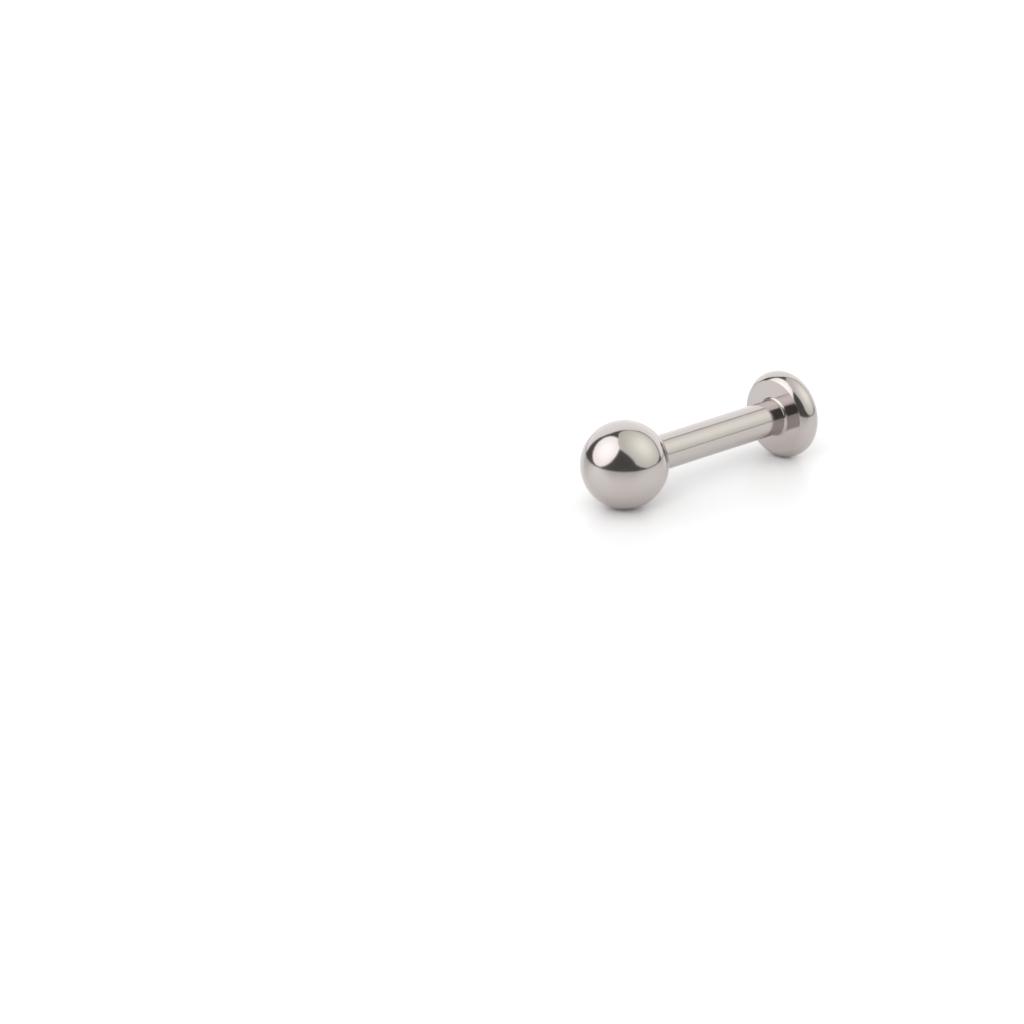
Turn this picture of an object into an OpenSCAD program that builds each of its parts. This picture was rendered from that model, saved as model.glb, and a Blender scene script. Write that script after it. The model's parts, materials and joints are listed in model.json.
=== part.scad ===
// Labret stud: a post with a backing disc and a threaded pin, and the ball that screws onto it.
// It lies on the ground plane on its ball and on its disc's rim. The bar runs along X, the disc is
// at +X and the ball at -X. The origin is below the middle of the stud, on the ground plane.
// Each piece is drawn around its own upright axis, with the ball's centre at height 0 and the
// disc above it, and is then laid down.

/* [Ball] */
// Diameter of the ball
ball_d = 4; // [3.75:0.25:6]
// How far the countersink's mouth stands clear of the bar, all round
mouth_margin = 0.4; // [0.2:0.05:0.5]
// Full angle of the countersink, which the bar's chamfer follows
mouth_angle = 138; // [80:1:140]

/* [Bar] */
// Length of the bar, from the disc's flat face to the shoulder
bar_l = 8; // [6:0.5:14]
// Diameter of the bar
bar_d = 1.6; // [1.2:0.1:1.8]
// Width of the chamfer at the shoulder
chamfer = 0.04; // [0.02:0.01:0.06]
// Radius of the fillet between the bar and the disc
fillet_r = 0.14; // [0.1:0.02:0.24]

/* [Disc] */
// Diameter of the disc
disc_d = 4; // [3.25:0.25:6]
// Thickness of the disc
disc_t = 1.2; // [0.9:0.1:1.6]
// How far in from the rim the flat face ends, at its crease
rim_in = 0.3; // [0.2:0.05:0.4]
// Depth behind the flat face at which the rim is widest
rim_depth = 0.6; // [0.45:0.05:0.7]

/* [Thread] */
// Step down from the bar's radius to the thread's crests, at the shoulder
shoulder_step = 0.09; // [0.07:0.01:0.13]
// How much the crests narrow from the shoulder to the tip, in radius, to lead the ball on
lead_taper = 0.02; // [0.01:0.005:0.04]
// Length of the threaded pin, without its domed tip
thread_l = 1.3; // [1:0.1:1.6]
// Advance of the thread in one turn
pitch = 0.3; // [0.25:0.01:0.35]
// Depth of the groove in the pin and in the ball
groove_depth = 0.11; // [0.06:0.01:0.14]
// Step down from the last crest to the domed tip
tip_step = 0.02; // [0.01:0.01:0.06]

/* [Fit] */
// Radial clearance between the pin's widest crest and the hole in the ball
thread_clear = 0.03; // [0.02:0.01:0.05]
// Gap between the bar's chamfer and the countersink
seat_gap = 0.01; // [0.01:0.005:0.03]
// Room left beyond the pin's tip in the hole
tip_room = 0.2; // [0.1:0.05:0.3]
// Full angle of the drill point at the bottom of the hole
drill_angle = 118; // [110:1:130]

/* [Hidden] */
$fn = 96;
metal = [0.78, 0.76, 0.74];
// Overlap of a cutting solid with the surface that it cuts
cut = 0.05;

ball_r = ball_d / 2;
bar_r = bar_d / 2;
disc_r = disc_d / 2;

// Countersink: a cone from the mouth on the sphere down to the hole
mouth_r = bar_r + mouth_margin;
mouth_z = sqrt(ball_r * ball_r - mouth_r * mouth_r);
cone_slope = tan(mouth_angle / 2);
crest_r = bar_r - shoulder_step;
hole_r = crest_r + thread_clear;
cone_foot_z = mouth_z - (mouth_r - hole_r) / cone_slope;

// Shoulder: its chamfer lies parallel to the countersink, a seat gap away
seat_shift = seat_gap / cos(mouth_angle / 2);
shoulder_z = mouth_z - (mouth_r - bar_r + chamfer - seat_shift) / cone_slope;
chamfer_h = chamfer / cone_slope;

// Pin and hole, below the shoulder
lead_r = crest_r - lead_taper;
tip_r = lead_r - tip_step;
dome_z = shoulder_z - thread_l;
hole_floor_z = dome_z - tip_r - tip_room;
drill_tip_z = hole_floor_z - hole_r / tan(drill_angle / 2);

// Disc: the rim's front arc runs from the crease to the widest ring, its back arc from there on
face_z = shoulder_z + bar_l;
widest_z = face_z + rim_depth;
back_z = face_z + disc_t;
front_arc_r = (rim_depth * rim_depth + rim_in * rim_in) / (2 * rim_in);
back_arc_r = disc_t - rim_depth;

// Thread: a groove cutter with a narrow tip, in rings along a helix
ring_steps = 24;
groove_half = 0.30 * pitch;
groove_tip_half = 0.08 * pitch;
// Turns over which a tapered end runs out, and the share of its depth that the cutter keeps
// there, where it no longer cuts
taper_turns = 0.4;
end_share = 0.1;

// The stud lies on two circles of its outline, the ball's and the rim's, so unequal ones tilt it
rim_arc_r = disc_r > ball_r ? back_arc_r : front_arc_r;
rim_centre_r = disc_r - rim_arc_r;
rim_reach = norm([widest_z, rim_centre_r]);
lie_angle = atan2(rim_centre_r, widest_z) - asin((ball_r - rim_arc_r) / rim_reach);
middle_z = (back_z - ball_r) / 2;

// Lays an upright piece down: its axis turns to +X, with the ball's lowest point on the ground
module laid() {
    translate([-middle_z, 0, ball_r]) rotate([0, 90 + lie_angle, 0]) children();
}

// Half outline of the disc, in radius and height
module disc_outline() {
    translate([0, face_z]) square([disc_r - front_arc_r, rim_depth]);
    intersection() {
        translate([disc_r - front_arc_r, widest_z]) circle(front_arc_r);
        translate([disc_r - front_arc_r - cut, face_z]) square([front_arc_r + 2 * cut, rim_depth]);
    }
    translate([0, widest_z]) square([disc_r - back_arc_r, back_arc_r]);
    intersection() {
        translate([disc_r - back_arc_r, widest_z]) circle(back_arc_r);
        translate([disc_r - back_arc_r - cut, widest_z]) square([back_arc_r + 2 * cut, back_arc_r + cut]);
    }
}

// Half outline of the fillet between the bar and the disc
module fillet_outline() {
    difference() {
        translate([bar_r - cut, face_z - fillet_r]) square([fillet_r + cut, fillet_r + cut]);
        translate([bar_r + fillet_r, face_z - fillet_r]) circle(fillet_r);
    }
}

// Half outline of the bar with its chamfer, and of the pin below it
module bar_outline() {
    polygon([
        [0, shoulder_z],
        [bar_r - chamfer, shoulder_z],
        [bar_r, shoulder_z + chamfer_h],
        [bar_r, face_z + cut],
        [0, face_z + cut]
    ]);
    polygon([
        [0, dome_z],
        [lead_r, dome_z],
        [crest_r, shoulder_z],
        [crest_r, shoulder_z + chamfer_h],
        [0, shoulder_z + chamfer_h]
    ]);
    intersection() {
        translate([0, dome_z]) circle(tip_r);
        translate([0, dome_z - tip_r]) square([tip_r, tip_r + cut]);
    }
}

// Cutter that follows a right-hand helix, from from_z up to to_z. Its wide side is at radius
// wide_r and its narrow side at radius deep_r, and its depth tapers out at the ends asked for.
module helix_cutter(wide_r, deep_r, from_z, to_z, taper_from = false, taper_to = false) {
    turns = (to_z - from_z) / pitch;
    rings = ceil(turns * ring_steps);
    function tapered(turn) = min(
        taper_from ? min(end_share + turn / taper_turns, 1) : 1,
        taper_to ? min(end_share + (turns - turn) / taper_turns, 1) : 1
    );
    function corner(turn, radius, rise) =
        [radius * cos(360 * turn), radius * sin(360 * turn), from_z + turn * pitch + rise];
    points = [
        for (ring = [0:rings])
            let (turn = turns * ring / rings, depth = tapered(turn))
            let (radius = wide_r + (deep_r - wide_r) * depth)
            each [
                corner(turn, wide_r, -groove_half),
                corner(turn, radius, -groove_tip_half),
                corner(turn, radius, groove_tip_half),
                corner(turn, wide_r, groove_half)
            ]
    ];
    // Seen from outside, faces run one way round for a cutter that points in, the other way for out
    outward = deep_r > wide_r;
    sides = [
        for (ring = [0:rings - 1], side = [0:3])
            let (a = 4 * ring + side, b = 4 * ring + (side + 1) % 4)
            each outward ? [[a, b, b + 4], [a, b + 4, a + 4]] : [[a, b + 4, b], [a, a + 4, b + 4]]
    ];
    last = 4 * rings;
    caps = outward
        ? [[3, 2, 1, 0], [last, last + 1, last + 2, last + 3]]
        : [[0, 1, 2, 3], [last + 3, last + 2, last + 1, last]];
    polyhedron(points = points, faces = concat(sides, caps));
}

module post() {
    color(metal) laid() difference() {
        rotate_extrude() {
            disc_outline();
            fillet_outline();
            bar_outline();
        }
        helix_cutter(
            crest_r + cut, crest_r - groove_depth,
            dome_z - pitch / 2, shoulder_z - pitch / 2, taper_to = true
        );
    }
}

module ball() {
    color(metal) laid() difference() {
        sphere(ball_r);
        rotate_extrude() polygon([
            [0, drill_tip_z],
            [hole_r, hole_floor_z],
            [hole_r, cone_foot_z],
            [mouth_r + cut * cone_slope, mouth_z + cut],
            [mouth_r + cut * cone_slope, ball_r + cut],
            [0, ball_r + cut]
        ]);
        helix_cutter(
            hole_r - cut, hole_r + groove_depth,
            hole_floor_z + pitch / 2, cone_foot_z - pitch / 2, taper_from = true, taper_to = true
        );
    }
}

post();
ball();
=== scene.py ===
"""Labret stud lying on a pale table: mirror polished steel under soft studio light."""

import json
import math

import bmesh
import bpy
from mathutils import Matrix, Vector


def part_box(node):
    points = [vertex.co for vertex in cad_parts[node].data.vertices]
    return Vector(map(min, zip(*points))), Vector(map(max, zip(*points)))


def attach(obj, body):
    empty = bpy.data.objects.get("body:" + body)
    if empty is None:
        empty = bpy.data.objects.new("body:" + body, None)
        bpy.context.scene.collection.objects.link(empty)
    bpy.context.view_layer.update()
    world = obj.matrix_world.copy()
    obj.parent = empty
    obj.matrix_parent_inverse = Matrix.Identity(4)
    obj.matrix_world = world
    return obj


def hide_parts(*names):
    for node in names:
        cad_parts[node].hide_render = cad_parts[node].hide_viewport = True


MM = 0.001
FRAME_PX = 1024
SENSOR_MM = 36.0

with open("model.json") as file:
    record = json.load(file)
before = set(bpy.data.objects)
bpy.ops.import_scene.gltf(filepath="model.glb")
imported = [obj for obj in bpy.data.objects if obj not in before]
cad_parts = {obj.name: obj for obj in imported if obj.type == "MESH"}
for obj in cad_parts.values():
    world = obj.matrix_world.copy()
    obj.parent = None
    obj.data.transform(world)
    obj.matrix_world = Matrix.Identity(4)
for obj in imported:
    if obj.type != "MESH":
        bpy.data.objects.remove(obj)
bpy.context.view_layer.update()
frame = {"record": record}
mounts = {m["name"]: m for m in frame["record"]["mounts"]}

# Sizes read from the frame, in mm along X and outwards from the stud's axis
ball_lo, ball_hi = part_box("ball")
BALL_R = (ball_hi[2] - ball_lo[2]) / 2 / MM
AXIS_Z = mounts["bar"]["pos_m"][2] / MM
BALL_X = ball_lo[0] / MM + BALL_R
BAR_R = mounts["bar"]["dims"]["r_mm"]
FACE_X = mounts["disc_face"]["pos_m"][0] / MM
BACK_X = mounts["disc_back"]["pos_m"][0] / MM
WALL_X = mounts["bar"]["pos_m"][0] / MM - mounts["bar"]["dims"]["length_mm"] / 2

# Sizes that the frame doesn't state, in mm and degrees
MOUTH_R = 1.2
MOUTH_ANGLE = 138.0
DISC_R = 2.0
CREASE_R = 1.7
RIM_DEPTH = 0.6
FILLET_R = 0.14
CHAMFER = 0.04
CREST_R = 0.71
LEAD_R = 0.69
TIP_R = 0.67
HOLE_R = 0.74
THREAD_L = 1.3
TIP_ROOM = 0.2
DRILL_ANGLE = 118.0
PITCH = 0.3
GROOVE = 0.11
TAPER_TURNS = 0.4

# Turns by which the groove's taper starts beyond its end, and the turn from which a groove without
# a taper is cut
TAPER_LEAD = 0.1
CUT_OFF_TURNS = -0.3
# Half width of the groove's floor and width of its sides, as shares of the pitch
GROOVE_FLOOR = 0.08
GROOVE_SIDE = 0.16

# Roundings of the sharp corners, in mm
SHOULDER_ROUND = 0.006
WALL_ROUND = 0.005
CREASE_ROUND = 0.025
MOUTH_ROUND = 0.03
CONE_FOOT_ROUND = 0.01
# Largest share of a step that a rounding takes away
TRIM_LIMIT = 0.9

# Points round the axis, and steps along the outlines
SEGMENTS = 192
ROWS_PER_PITCH = 20
DOME_STEPS = 48
FILLET_STEPS = 24
RIM_FRONT_STEPS = 24
RIM_BACK_STEPS = 32
SPHERE_STEPS = 120
CORNER_STEPS = 6
# Shares of a straight run at which it has points, closer together near its ends
RUN_SHARES = (0, 0.02, 0.08, 0.25, 0.5, 0.75, 0.92, 0.98, 1)
SHORT_RUN_SHARES = (0, 0.25, 0.75, 1)
# Distances within which a point belongs to an edge, in mm: for a face's material, and for the
# groove at the shoulder and at the foot of the ball's cone
EDGE = 0.001
SHOULDER_EDGE = 0.004
FOOT_EDGE = 0.02

CONE_SLOPE = math.tan(math.radians(MOUTH_ANGLE / 2))
MOUTH_X = BALL_X + math.sqrt(BALL_R ** 2 - MOUTH_R ** 2)
CONE_FOOT_X = MOUTH_X - (MOUTH_R - HOLE_R) / CONE_SLOPE
SHOULDER_X = WALL_X - CHAMFER / CONE_SLOPE
DOME_X = SHOULDER_X - THREAD_L
HOLE_FLOOR_X = DOME_X - TIP_R - TIP_ROOM
DRILL_X = HOLE_FLOOR_X - HOLE_R / math.tan(math.radians(DRILL_ANGLE / 2))


# Profiles: runs of (x, r) points, joined with small rounded corners

def span(start, end, shares=RUN_SHARES):
    """Points on a straight run, at the given shares of it."""
    (x, radius), (end_x, end_radius) = start, end
    return [(x + (end_x - x) * t, radius + (end_radius - radius) * t) for t in shares]


def rows(start_x, start_r, end_x, end_r):
    """Rows close enough together to carry the thread."""
    count = max(2, math.ceil(abs(end_x - start_x) / (PITCH / ROWS_PER_PITCH)))
    return span((start_x, start_r), (end_x, end_r), [i / count for i in range(count + 1)])


def arc(centre, radius, start, end, steps):
    """Points on an arc, with angles in degrees from +X towards outwards."""
    angles = [math.radians(start + (end - start) * i / steps) for i in range(steps + 1)]
    return [(centre[0] + radius * math.cos(a), centre[1] + radius * math.sin(a)) for a in angles]


def trimmed(run, size):
    """The run without its last stretch of the given length, ending in a new point there."""
    run = list(run)
    left = size
    while len(run) > 2:
        step = math.dist(run[-1], run[-2])
        if step > left:
            break
        left -= step
        run.pop()
    step = math.dist(run[-1], run[-2])
    share = min(left / step, TRIM_LIMIT)
    last = run.pop()
    run.append((last[0] + (run[-1][0] - last[0]) * share, last[1] + (run[-1][1] - last[1]) * share))
    return run


def joined(runs, corners, steps=CORNER_STEPS):
    """One profile from several runs, each corner between them rounded over its size."""
    profile = list(runs[0])
    for run, size in zip(runs[1:], corners):
        corner = run[0]
        if size:
            profile = trimmed(profile, size)
            run = trimmed(run[::-1], size)[::-1]
            start, end = profile[-1], run[0]
            for i in range(1, steps):
                t = i / steps
                profile.append(tuple(
                    (1 - t) ** 2 * start[k] + 2 * t * (1 - t) * corner[k] + t * t * end[k]
                    for k in (0, 1)
                ))
            profile += run
        else:
            profile += run[1:]
    return profile


def smooth(value):
    """A soft step from 0 to 1 as the value goes from 0 to 1."""
    value = min(max(value, 0.0), 1.0)
    return value * value * (3 - 2 * value)


def groove_depth(x, angle, start_x, end_x, taper_start, taper_end):
    """Share of the groove's depth at x and at an angle round the axis, on a right-hand helix."""
    turn = angle / (2 * math.pi)
    near = round((x - start_x) / PITCH - turn) + turn
    turns = (end_x - start_x) / PITCH
    off = abs(x - start_x - near * PITCH) / PITCH
    if taper_start:
        run_in = smooth((near + TAPER_LEAD) / TAPER_TURNS)
    else:
        run_in = 1.0 if near > CUT_OFF_TURNS else 0.0
    run_out = smooth((turns - near + TAPER_LEAD) / TAPER_TURNS) if taper_end else 1.0
    return (1 - smooth((off - GROOVE_FLOOR) / GROOVE_SIDE)) * run_in * run_out


def point_at(x, radius, angle):
    """A point in m. The angle starts at the side that faces down, as the thread does."""
    return (x * MM, radius * math.sin(angle) * MM, (AXIS_Z - radius * math.cos(angle)) * MM)


def lathe(name, profile, material, thread_material, radius_at, threaded):
    """A closed mesh turned about the stud's axis, with its first and last profile points on it.

    radius_at(x, radius, angle) gives a point its radius, and threaded(a, b) tells whether the faces
    between two profile points have the thread's material.
    """
    verts, faces, marks = [], [], []
    verts.append(point_at(profile[0][0], 0, 0))
    rings = profile[1:-1]
    for x, radius in rings:
        for j in range(SEGMENTS):
            angle = 2 * math.pi * j / SEGMENTS
            verts.append(point_at(x, radius_at(x, radius, angle), angle))
    verts.append(point_at(profile[-1][0], 0, 0))
    last = len(verts) - 1
    for j in range(SEGMENTS):
        k = (j + 1) % SEGMENTS
        faces.append((0, 1 + j, 1 + k))
        marks.append(0)
        for i in range(len(rings) - 1):
            a, b = 1 + i * SEGMENTS, 1 + (i + 1) * SEGMENTS
            faces.append((a + j, b + j, b + k, a + k))
            marks.append(1 if threaded(rings[i], rings[i + 1]) else 0)
        a = 1 + (len(rings) - 1) * SEGMENTS
        faces.append((a + j, last, a + k))
        marks.append(0)
    mesh = bpy.data.meshes.new(name)
    mesh.from_pydata(verts, [], faces)
    mesh.materials.append(material)
    mesh.materials.append(thread_material)
    for polygon, mark in zip(mesh.polygons, marks):
        polygon.material_index = mark
        polygon.use_smooth = True
    mesh.update()
    obj = bpy.data.objects.new(name, mesh)
    bpy.context.scene.collection.objects.link(obj)
    turn_outward(mesh)
    return obj


def turn_outward(mesh):
    """Turns every face outwards."""
    work = bmesh.new()
    work.from_mesh(mesh)
    bmesh.ops.recalc_face_normals(work, faces=work.faces)
    work.to_mesh(mesh)
    work.free()


def tree_of(block):
    """The nodes and links of a material or world, which uses them from then on."""
    block.use_nodes = True
    return block.node_tree.nodes, block.node_tree.links


# Materials

STEEL = (0.505, 0.464, 0.449)
THREAD_STEEL = (0.43, 0.396, 0.382)
# How far the tone wanders, as a share of it, and the scales of its noise and of the polishing
# marks, per m
TONE_SPREAD = 0.015
TONE_SCALE = 600.0
MARK_SCALE = 9000.0
# Depth of a full polishing mark, in m
MARK_DEPTH = 0.000002
# Values of the noise between which the gloss goes from one end of its range to the other
NOISE_LOW = 0.3
NOISE_HIGH = 0.7


def polished_steel(name, colour, rough, rough_spread, marks):
    """Polished metal: slightly uneven gloss and tone, and faint polishing marks round the axis."""
    material = bpy.data.materials.new(name)
    nodes, links = tree_of(material)
    shader = nodes["Principled BSDF"]
    shader.inputs["Metallic"].default_value = 1.0
    place = nodes.new("ShaderNodeTexCoord")
    centred = nodes.new("ShaderNodeVectorMath")
    centred.operation = "SUBTRACT"
    centred.inputs[1].default_value = (0, 0, AXIS_Z * MM)
    links.new(place.outputs["Object"], centred.inputs[0])

    tone = nodes.new("ShaderNodeTexNoise")
    tone.inputs["Scale"].default_value = TONE_SCALE
    tone.inputs["Detail"].default_value = 3.0
    links.new(centred.outputs[0], tone.inputs["Vector"])
    tint = nodes.new("ShaderNodeMix")
    tint.data_type = "RGBA"
    tint.inputs[6].default_value = (*[c * (1 - TONE_SPREAD) for c in colour], 1)
    tint.inputs[7].default_value = (*[c * (1 + TONE_SPREAD) for c in colour], 1)
    links.new(tone.outputs["Fac"], tint.inputs[0])
    links.new(tint.outputs[2], shader.inputs["Base Color"])

    gloss = nodes.new("ShaderNodeMapRange")
    gloss.inputs["From Min"].default_value = NOISE_LOW
    gloss.inputs["From Max"].default_value = NOISE_HIGH
    gloss.inputs["To Min"].default_value = rough - rough_spread
    gloss.inputs["To Max"].default_value = rough + rough_spread
    links.new(tone.outputs["Fac"], gloss.inputs["Value"])
    links.new(gloss.outputs["Result"], shader.inputs["Roughness"])

    # Marks depend on the place along the axis and on the distance from it, so they run round it
    split = nodes.new("ShaderNodeSeparateXYZ")
    links.new(centred.outputs[0], split.inputs[0])
    across = nodes.new("ShaderNodeCombineXYZ")
    links.new(split.outputs["Y"], across.inputs["Y"])
    links.new(split.outputs["Z"], across.inputs["Z"])
    distance = nodes.new("ShaderNodeVectorMath")
    distance.operation = "LENGTH"
    links.new(across.outputs[0], distance.inputs[0])
    rounds = nodes.new("ShaderNodeCombineXYZ")
    links.new(split.outputs["X"], rounds.inputs["X"])
    links.new(distance.outputs["Value"], rounds.inputs["Y"])
    lines = nodes.new("ShaderNodeTexNoise")
    lines.inputs["Scale"].default_value = MARK_SCALE
    lines.inputs["Detail"].default_value = 2.0
    links.new(rounds.outputs[0], lines.inputs["Vector"])
    bump = nodes.new("ShaderNodeBump")
    bump.inputs["Strength"].default_value = marks
    bump.inputs["Distance"].default_value = MARK_DEPTH
    links.new(lines.outputs["Fac"], bump.inputs["Height"])
    links.new(bump.outputs["Normal"], shader.inputs["Normal"])
    return material


post_metal = polished_steel("post_steel", STEEL, rough=0.13, rough_spread=0.015, marks=0.06)
post_thread = polished_steel(
    "post_thread_steel", THREAD_STEEL, rough=0.16, rough_spread=0.04, marks=0.15,
)
ball_metal = polished_steel("ball_steel", STEEL, rough=0.13, rough_spread=0.015, marks=0.03)
ball_thread = polished_steel(
    "ball_thread_steel", THREAD_STEEL, rough=0.18, rough_spread=0.04, marks=0.15,
)


# Post: domed tip, threaded pin, shoulder, bar, fillet, disc
front_r = (RIM_DEPTH ** 2 + (DISC_R - CREASE_R) ** 2) / (2 * (DISC_R - CREASE_R))
back_r = BACK_X - FACE_X - RIM_DEPTH
front_centre = (FACE_X + RIM_DEPTH, DISC_R - front_r)
back_centre = (FACE_X + RIM_DEPTH, DISC_R - back_r)
crease_angle = math.degrees(math.atan2(CREASE_R - front_centre[1], FACE_X - front_centre[0]))

post_runs = [
    arc((DOME_X, 0), TIP_R, 180, 90, DOME_STEPS),
    span((DOME_X, TIP_R), (DOME_X, LEAD_R), (0, 0.5, 1)),
    rows(DOME_X, LEAD_R, SHOULDER_X, CREST_R),
    span((SHOULDER_X, CREST_R), (SHOULDER_X, BAR_R - CHAMFER), SHORT_RUN_SHARES),
    span((SHOULDER_X, BAR_R - CHAMFER), (WALL_X, BAR_R), SHORT_RUN_SHARES),
    span((WALL_X, BAR_R), (FACE_X - FILLET_R, BAR_R)),
    arc((FACE_X - FILLET_R, BAR_R + FILLET_R), FILLET_R, -90, 0, FILLET_STEPS),
    span((FACE_X, BAR_R + FILLET_R), (FACE_X, CREASE_R)),
    arc(front_centre, front_r, crease_angle, 90, RIM_FRONT_STEPS),
    arc(back_centre, back_r, 90, 0, RIM_BACK_STEPS),
    span((BACK_X, DISC_R - back_r), (BACK_X, 0)),
]
post_profile = joined(post_runs, [0, 0, 0, SHOULDER_ROUND, WALL_ROUND, 0, 0, CREASE_ROUND, 0, 0])


def pin_radius(x, radius, angle):
    """The profile's radius, or less in the pin's groove."""
    if x > SHOULDER_X - SHOULDER_EDGE or x < DOME_X - PITCH or radius < CREST_R - 2 * GROOVE:
        return radius
    depth = groove_depth(x, angle, DOME_X - PITCH / 2, SHOULDER_X - PITCH / 2, False, True)
    return min(radius, CREST_R - GROOVE * depth)


def on_pin(a, b):
    """Whether the faces between two profile points belong to the threaded pin."""
    return max(a[0], b[0]) < SHOULDER_X + EDGE


post = lathe("post_turned", post_profile, post_metal, post_thread, pin_radius, on_pin)

# Ball: sphere, rounded mouth, countersink, tapped hole, drill point
mouth_degrees = math.degrees(math.asin(MOUTH_R / BALL_R))
ball_runs = [
    arc((BALL_X, 0), BALL_R, 180, mouth_degrees, SPHERE_STEPS),
    span((MOUTH_X, MOUTH_R), (CONE_FOOT_X, HOLE_R)),
    rows(CONE_FOOT_X, HOLE_R, HOLE_FLOOR_X, HOLE_R),
    span((HOLE_FLOOR_X, HOLE_R), (DRILL_X, 0)),
]
ball_profile = joined(ball_runs, [MOUTH_ROUND, CONE_FOOT_ROUND, 0])


def hole_radius(x, radius, angle):
    """The profile's radius, or more in the hole's groove."""
    if x > CONE_FOOT_X or x < HOLE_FLOOR_X or radius > HOLE_R + FOOT_EDGE:
        return radius
    depth = groove_depth(x, angle, HOLE_FLOOR_X + PITCH / 2, CONE_FOOT_X - PITCH / 2, True, True)
    return max(radius, HOLE_R + GROOVE * depth)


def in_hole(a, b):
    """Whether the faces between two profile points belong to the hole, its drill point included."""
    return max(a[1], b[1]) < HOLE_R + EDGE and DRILL_X - EDGE < min(a[0], b[0]) < CONE_FOOT_X


ball = lathe("ball_turned", ball_profile, ball_metal, ball_thread, hole_radius, in_hole)

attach(post, "post")
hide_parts("post")
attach(ball, "ball")
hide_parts("ball")

# Camera, looking at a point of the table, with its distance, height and lens fitted to the photo
TARGET = Vector((-8.4409, 2.9549, 0)) * MM
CAMERA = Vector((-236.5371, -236.9983, 119.5767)) * MM
LENS_PX = 7885.94

camera_data = bpy.data.cameras.new("camera")
camera_data.sensor_width = SENSOR_MM
camera_data.lens = LENS_PX * SENSOR_MM / FRAME_PX
camera_data.clip_start = 0.005
camera_data.clip_end = 5.0
camera = bpy.data.objects.new("camera", camera_data)
camera.location = CAMERA
camera.rotation_euler = (TARGET - CAMERA).to_track_quat("-Z", "Y").to_euler()
bpy.context.scene.collection.objects.link(camera)
bpy.context.scene.camera = camera

# Studio: directions are given as an angle from straight away from the camera, positive to its
# right, and an elevation above the table
away = TARGET - CAMERA
away.z = 0
away.normalize()
right = Vector((away.y, -away.x, 0))


def direction(azimuth, elevation):
    """A unit vector towards a direction of the studio."""
    a, e = math.radians(azimuth), math.radians(elevation)
    return (away * math.cos(a) + right * math.sin(a)) * math.cos(e) + Vector((0, 0, math.sin(e)))


def glow(name, colour, strength, hot=None):
    """A studio card's glow. hot is (direction, reach, gain), a softly brighter spot on it."""
    material = bpy.data.materials.new(name)
    nodes, links = tree_of(material)
    nodes.clear()
    emission = nodes.new("ShaderNodeEmission")
    output = nodes.new("ShaderNodeOutputMaterial")
    emission.inputs["Color"].default_value = (*colour, 1)
    emission.inputs["Strength"].default_value = strength
    links.new(emission.outputs[0], output.inputs["Surface"])
    if hot:
        point, reach, gain = hot
        place = nodes.new("ShaderNodeTexCoord")
        unit = nodes.new("ShaderNodeVectorMath")
        unit.operation = "NORMALIZE"
        gap = nodes.new("ShaderNodeVectorMath")
        gap.operation = "DISTANCE"
        gap.inputs[1].default_value = point
        links.new(place.outputs["Object"], unit.inputs[0])
        links.new(unit.outputs[0], gap.inputs[0])
        fall = nodes.new("ShaderNodeMapRange")
        fall.interpolation_type = "SMOOTHSTEP"
        fall.inputs["From Min"].default_value = 0
        fall.inputs["From Max"].default_value = reach
        fall.inputs["To Min"].default_value = strength * gain
        fall.inputs["To Max"].default_value = strength
        links.new(gap.outputs["Value"], fall.inputs["Value"])
        links.new(fall.outputs["Result"], emission.inputs["Strength"])
    return material


def card(name, outline, material, reach):
    """A card that only reflections show: a fan whose corners lie in directions at one distance."""
    corners = [direction(*point) * reach for point in outline]
    count = len(corners)
    middle = sum(corners, Vector()) / count
    fan = [(0, 1 + i, 1 + (i + 1) % count) for i in range(count)]
    mesh = bpy.data.meshes.new(name)
    mesh.from_pydata([middle, *corners], [], fan)
    mesh.materials.append(material)
    obj = bpy.data.objects.new(name, mesh)
    obj.visible_camera = False
    obj.visible_diffuse = False
    bpy.context.scene.collection.objects.link(obj)


def cap(centre, wide, tall, steps=72):
    """Directions on an oval round a direction, wide and tall being its half sizes in degrees."""
    middle = direction(*centre)
    side = middle.cross(Vector((0, 0, 1))).normalized()
    up = side.cross(middle)
    points = []
    for i in range(steps):
        a = 2 * math.pi * i / steps
        radius = math.radians(math.hypot(wide * math.cos(a), tall * math.sin(a)))
        across = (side * wide * math.cos(a) + up * tall * math.sin(a)).normalized()
        ray = middle * math.cos(radius) + across * math.sin(radius)
        flat = Vector((ray.x, ray.y, 0))
        points.append((
            math.degrees(math.atan2(flat.dot(right), flat.dot(away))),
            math.degrees(math.atan2(ray.z, flat.length)),
        ))
    return points


# Distances of the cards, in m: the softbox hides the panel, and both hide the backdrop
SOFTBOX_REACH = 0.6
PANEL_REACH = 0.63
BACKDROP_REACH = 0.69
WHITE = (1, 1, 1)
# Slightly warm and green, as the photo's larger card is
PANEL_WHITE = (0.98, 1.0, 0.94)

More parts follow.
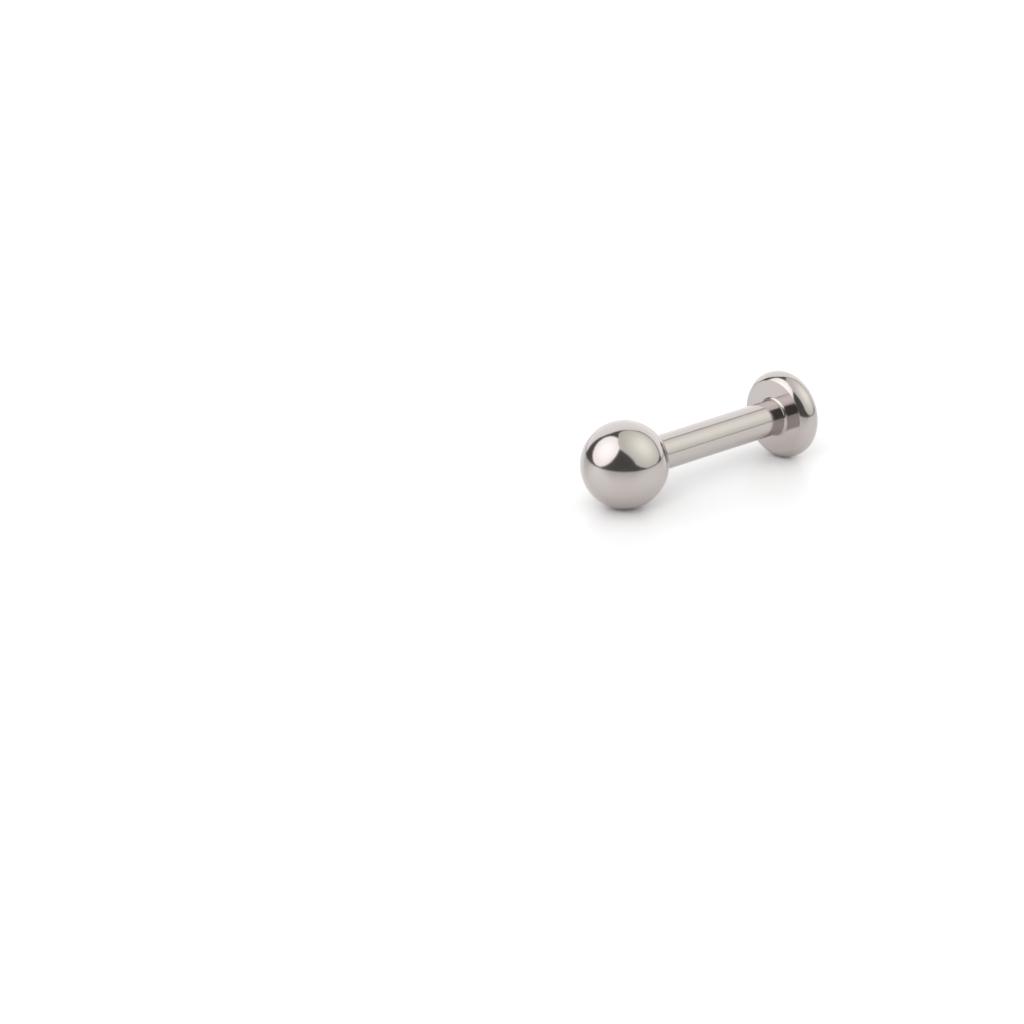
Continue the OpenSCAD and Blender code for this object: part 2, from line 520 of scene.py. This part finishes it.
card(
    "softbox_card",
    cap((-106, 40), wide=34, tall=37),
    glow("softbox_glow", WHITE, strength=1.73, hot=(direction(-110, 42), 0.62, 1.25)),
    SOFTBOX_REACH,
)
card(
    "panel_card",
    [
        (85, 2), (105, 2), (122, 2.6), (138, 8.5), (150, 17), (156, 30), (166, 41), (180, 50),
        (192, 55), (-155, 58), (-130, 64), (-100, 70), (-80, 76), (-60, 75.5), (-30, 69),
        (-5, 63.5), (20, 58), (39, 46.5), (53, 31), (61, 20), (69, 8),
    ],
    glow("panel_glow", PANEL_WHITE, strength=0.94, hot=(direction(98, 47), 0.9, 1.66)),
    PANEL_REACH,
)
card(
    "backdrop_card",
    [
        (-50, 1.5), (-50, 20), (-49.5, 38), (-47, 47), (-41, 54), (-30, 58), (-15, 60), (0, 60),
        (18, 56.5), (35, 44.5), (48, 31.5), (57, 20), (63, 10), (68, 1.5), (40, 1.2), (10, 1.2),
        (-20, 1.2),
    ],
    glow("backdrop_glow", WHITE, strength=1.32),
    BACKDROP_REACH,
)

# Table: a round plate, white with a slight gloss, its radius in m
TABLE_WHITE = (0.93, 0.93, 0.93)
TABLE_IOR = 1.4
TABLE_ROUGH = (0.29, 0.34)
TABLE_GRAIN = 400.0
TABLE_R = 1.2
TABLE_POINTS = 96


def table_white():
    """White, with a slight gloss that varies a little from place to place."""
    material = bpy.data.materials.new("table_white")
    nodes, links = tree_of(material)
    shader = nodes["Principled BSDF"]
    shader.inputs["Base Color"].default_value = (*TABLE_WHITE, 1)
    shader.inputs["IOR"].default_value = TABLE_IOR
    grain = nodes.new("ShaderNodeTexNoise")
    grain.inputs["Scale"].default_value = TABLE_GRAIN
    dull = nodes.new("ShaderNodeMapRange")
    dull.inputs["To Min"].default_value = TABLE_ROUGH[0]
    dull.inputs["To Max"].default_value = TABLE_ROUGH[1]
    links.new(grain.outputs["Fac"], dull.inputs["Value"])
    links.new(dull.outputs["Result"], shader.inputs["Roughness"])
    return material


table_mesh = bpy.data.meshes.new("table")
angles = [2 * math.pi * i / TABLE_POINTS for i in range(TABLE_POINTS)]
edge = [(TABLE_R * math.cos(a), TABLE_R * math.sin(a), 0) for a in angles]
table_mesh.from_pydata(edge, [], [tuple(range(TABLE_POINTS))])
table_mesh.materials.append(table_white())
table = bpy.data.objects.new("table", table_mesh)
bpy.context.scene.collection.objects.link(table)

# Soft light from the front left, which lights the table and shows in no reflection. Its width and
# distance are in m and its power is in W.
FILL_FROM = (-150, 48)
FILL_SIZE = 0.9
FILL_REACH = 0.8
FILL_POWER = 6.3
fill_data = bpy.data.lights.new("fill", "AREA")
fill_data.shape = "DISK"
fill_data.size = FILL_SIZE
fill_data.energy = FILL_POWER
fill = bpy.data.objects.new("fill", fill_data)
fill.location = direction(*FILL_FROM) * FILL_REACH
fill.rotation_euler = (-fill.location).to_track_quat("-Z", "Y").to_euler()
fill.visible_glossy = False
fill.visible_camera = False
bpy.context.scene.collection.objects.link(fill)

# Room all round: dim in reflections, between the cards, and white for the table's diffuse light and
# where the camera looks past the table
ROOM_DIM = (0.112, 0.112, 0.109)


def room():
    """A world that is dim to glossy rays, and white to diffuse and camera rays."""
    world = bpy.data.worlds.new("room")
    nodes, links = tree_of(world)
    nodes.clear()
    dim = nodes.new("ShaderNodeBackground")
    dim.inputs["Color"].default_value = (*ROOM_DIM, 1)
    white = nodes.new("ShaderNodeBackground")
    white.inputs["Color"].default_value = (*WHITE, 1)
    seen = nodes.new("ShaderNodeLightPath")
    diffuse = nodes.new("ShaderNodeMixShader")
    choose = nodes.new("ShaderNodeMixShader")
    output = nodes.new("ShaderNodeOutputWorld")
    links.new(seen.outputs["Is Diffuse Ray"], diffuse.inputs["Fac"])
    links.new(dim.outputs[0], diffuse.inputs[1])
    links.new(white.outputs[0], diffuse.inputs[2])
    links.new(seen.outputs["Is Camera Ray"], choose.inputs["Fac"])
    links.new(diffuse.outputs[0], choose.inputs[1])
    links.new(white.outputs[0], choose.inputs[2])
    links.new(choose.outputs[0], output.inputs["Surface"])
    return world


bpy.context.scene.world = room()
bpy.context.scene.view_settings.view_transform = "Standard"
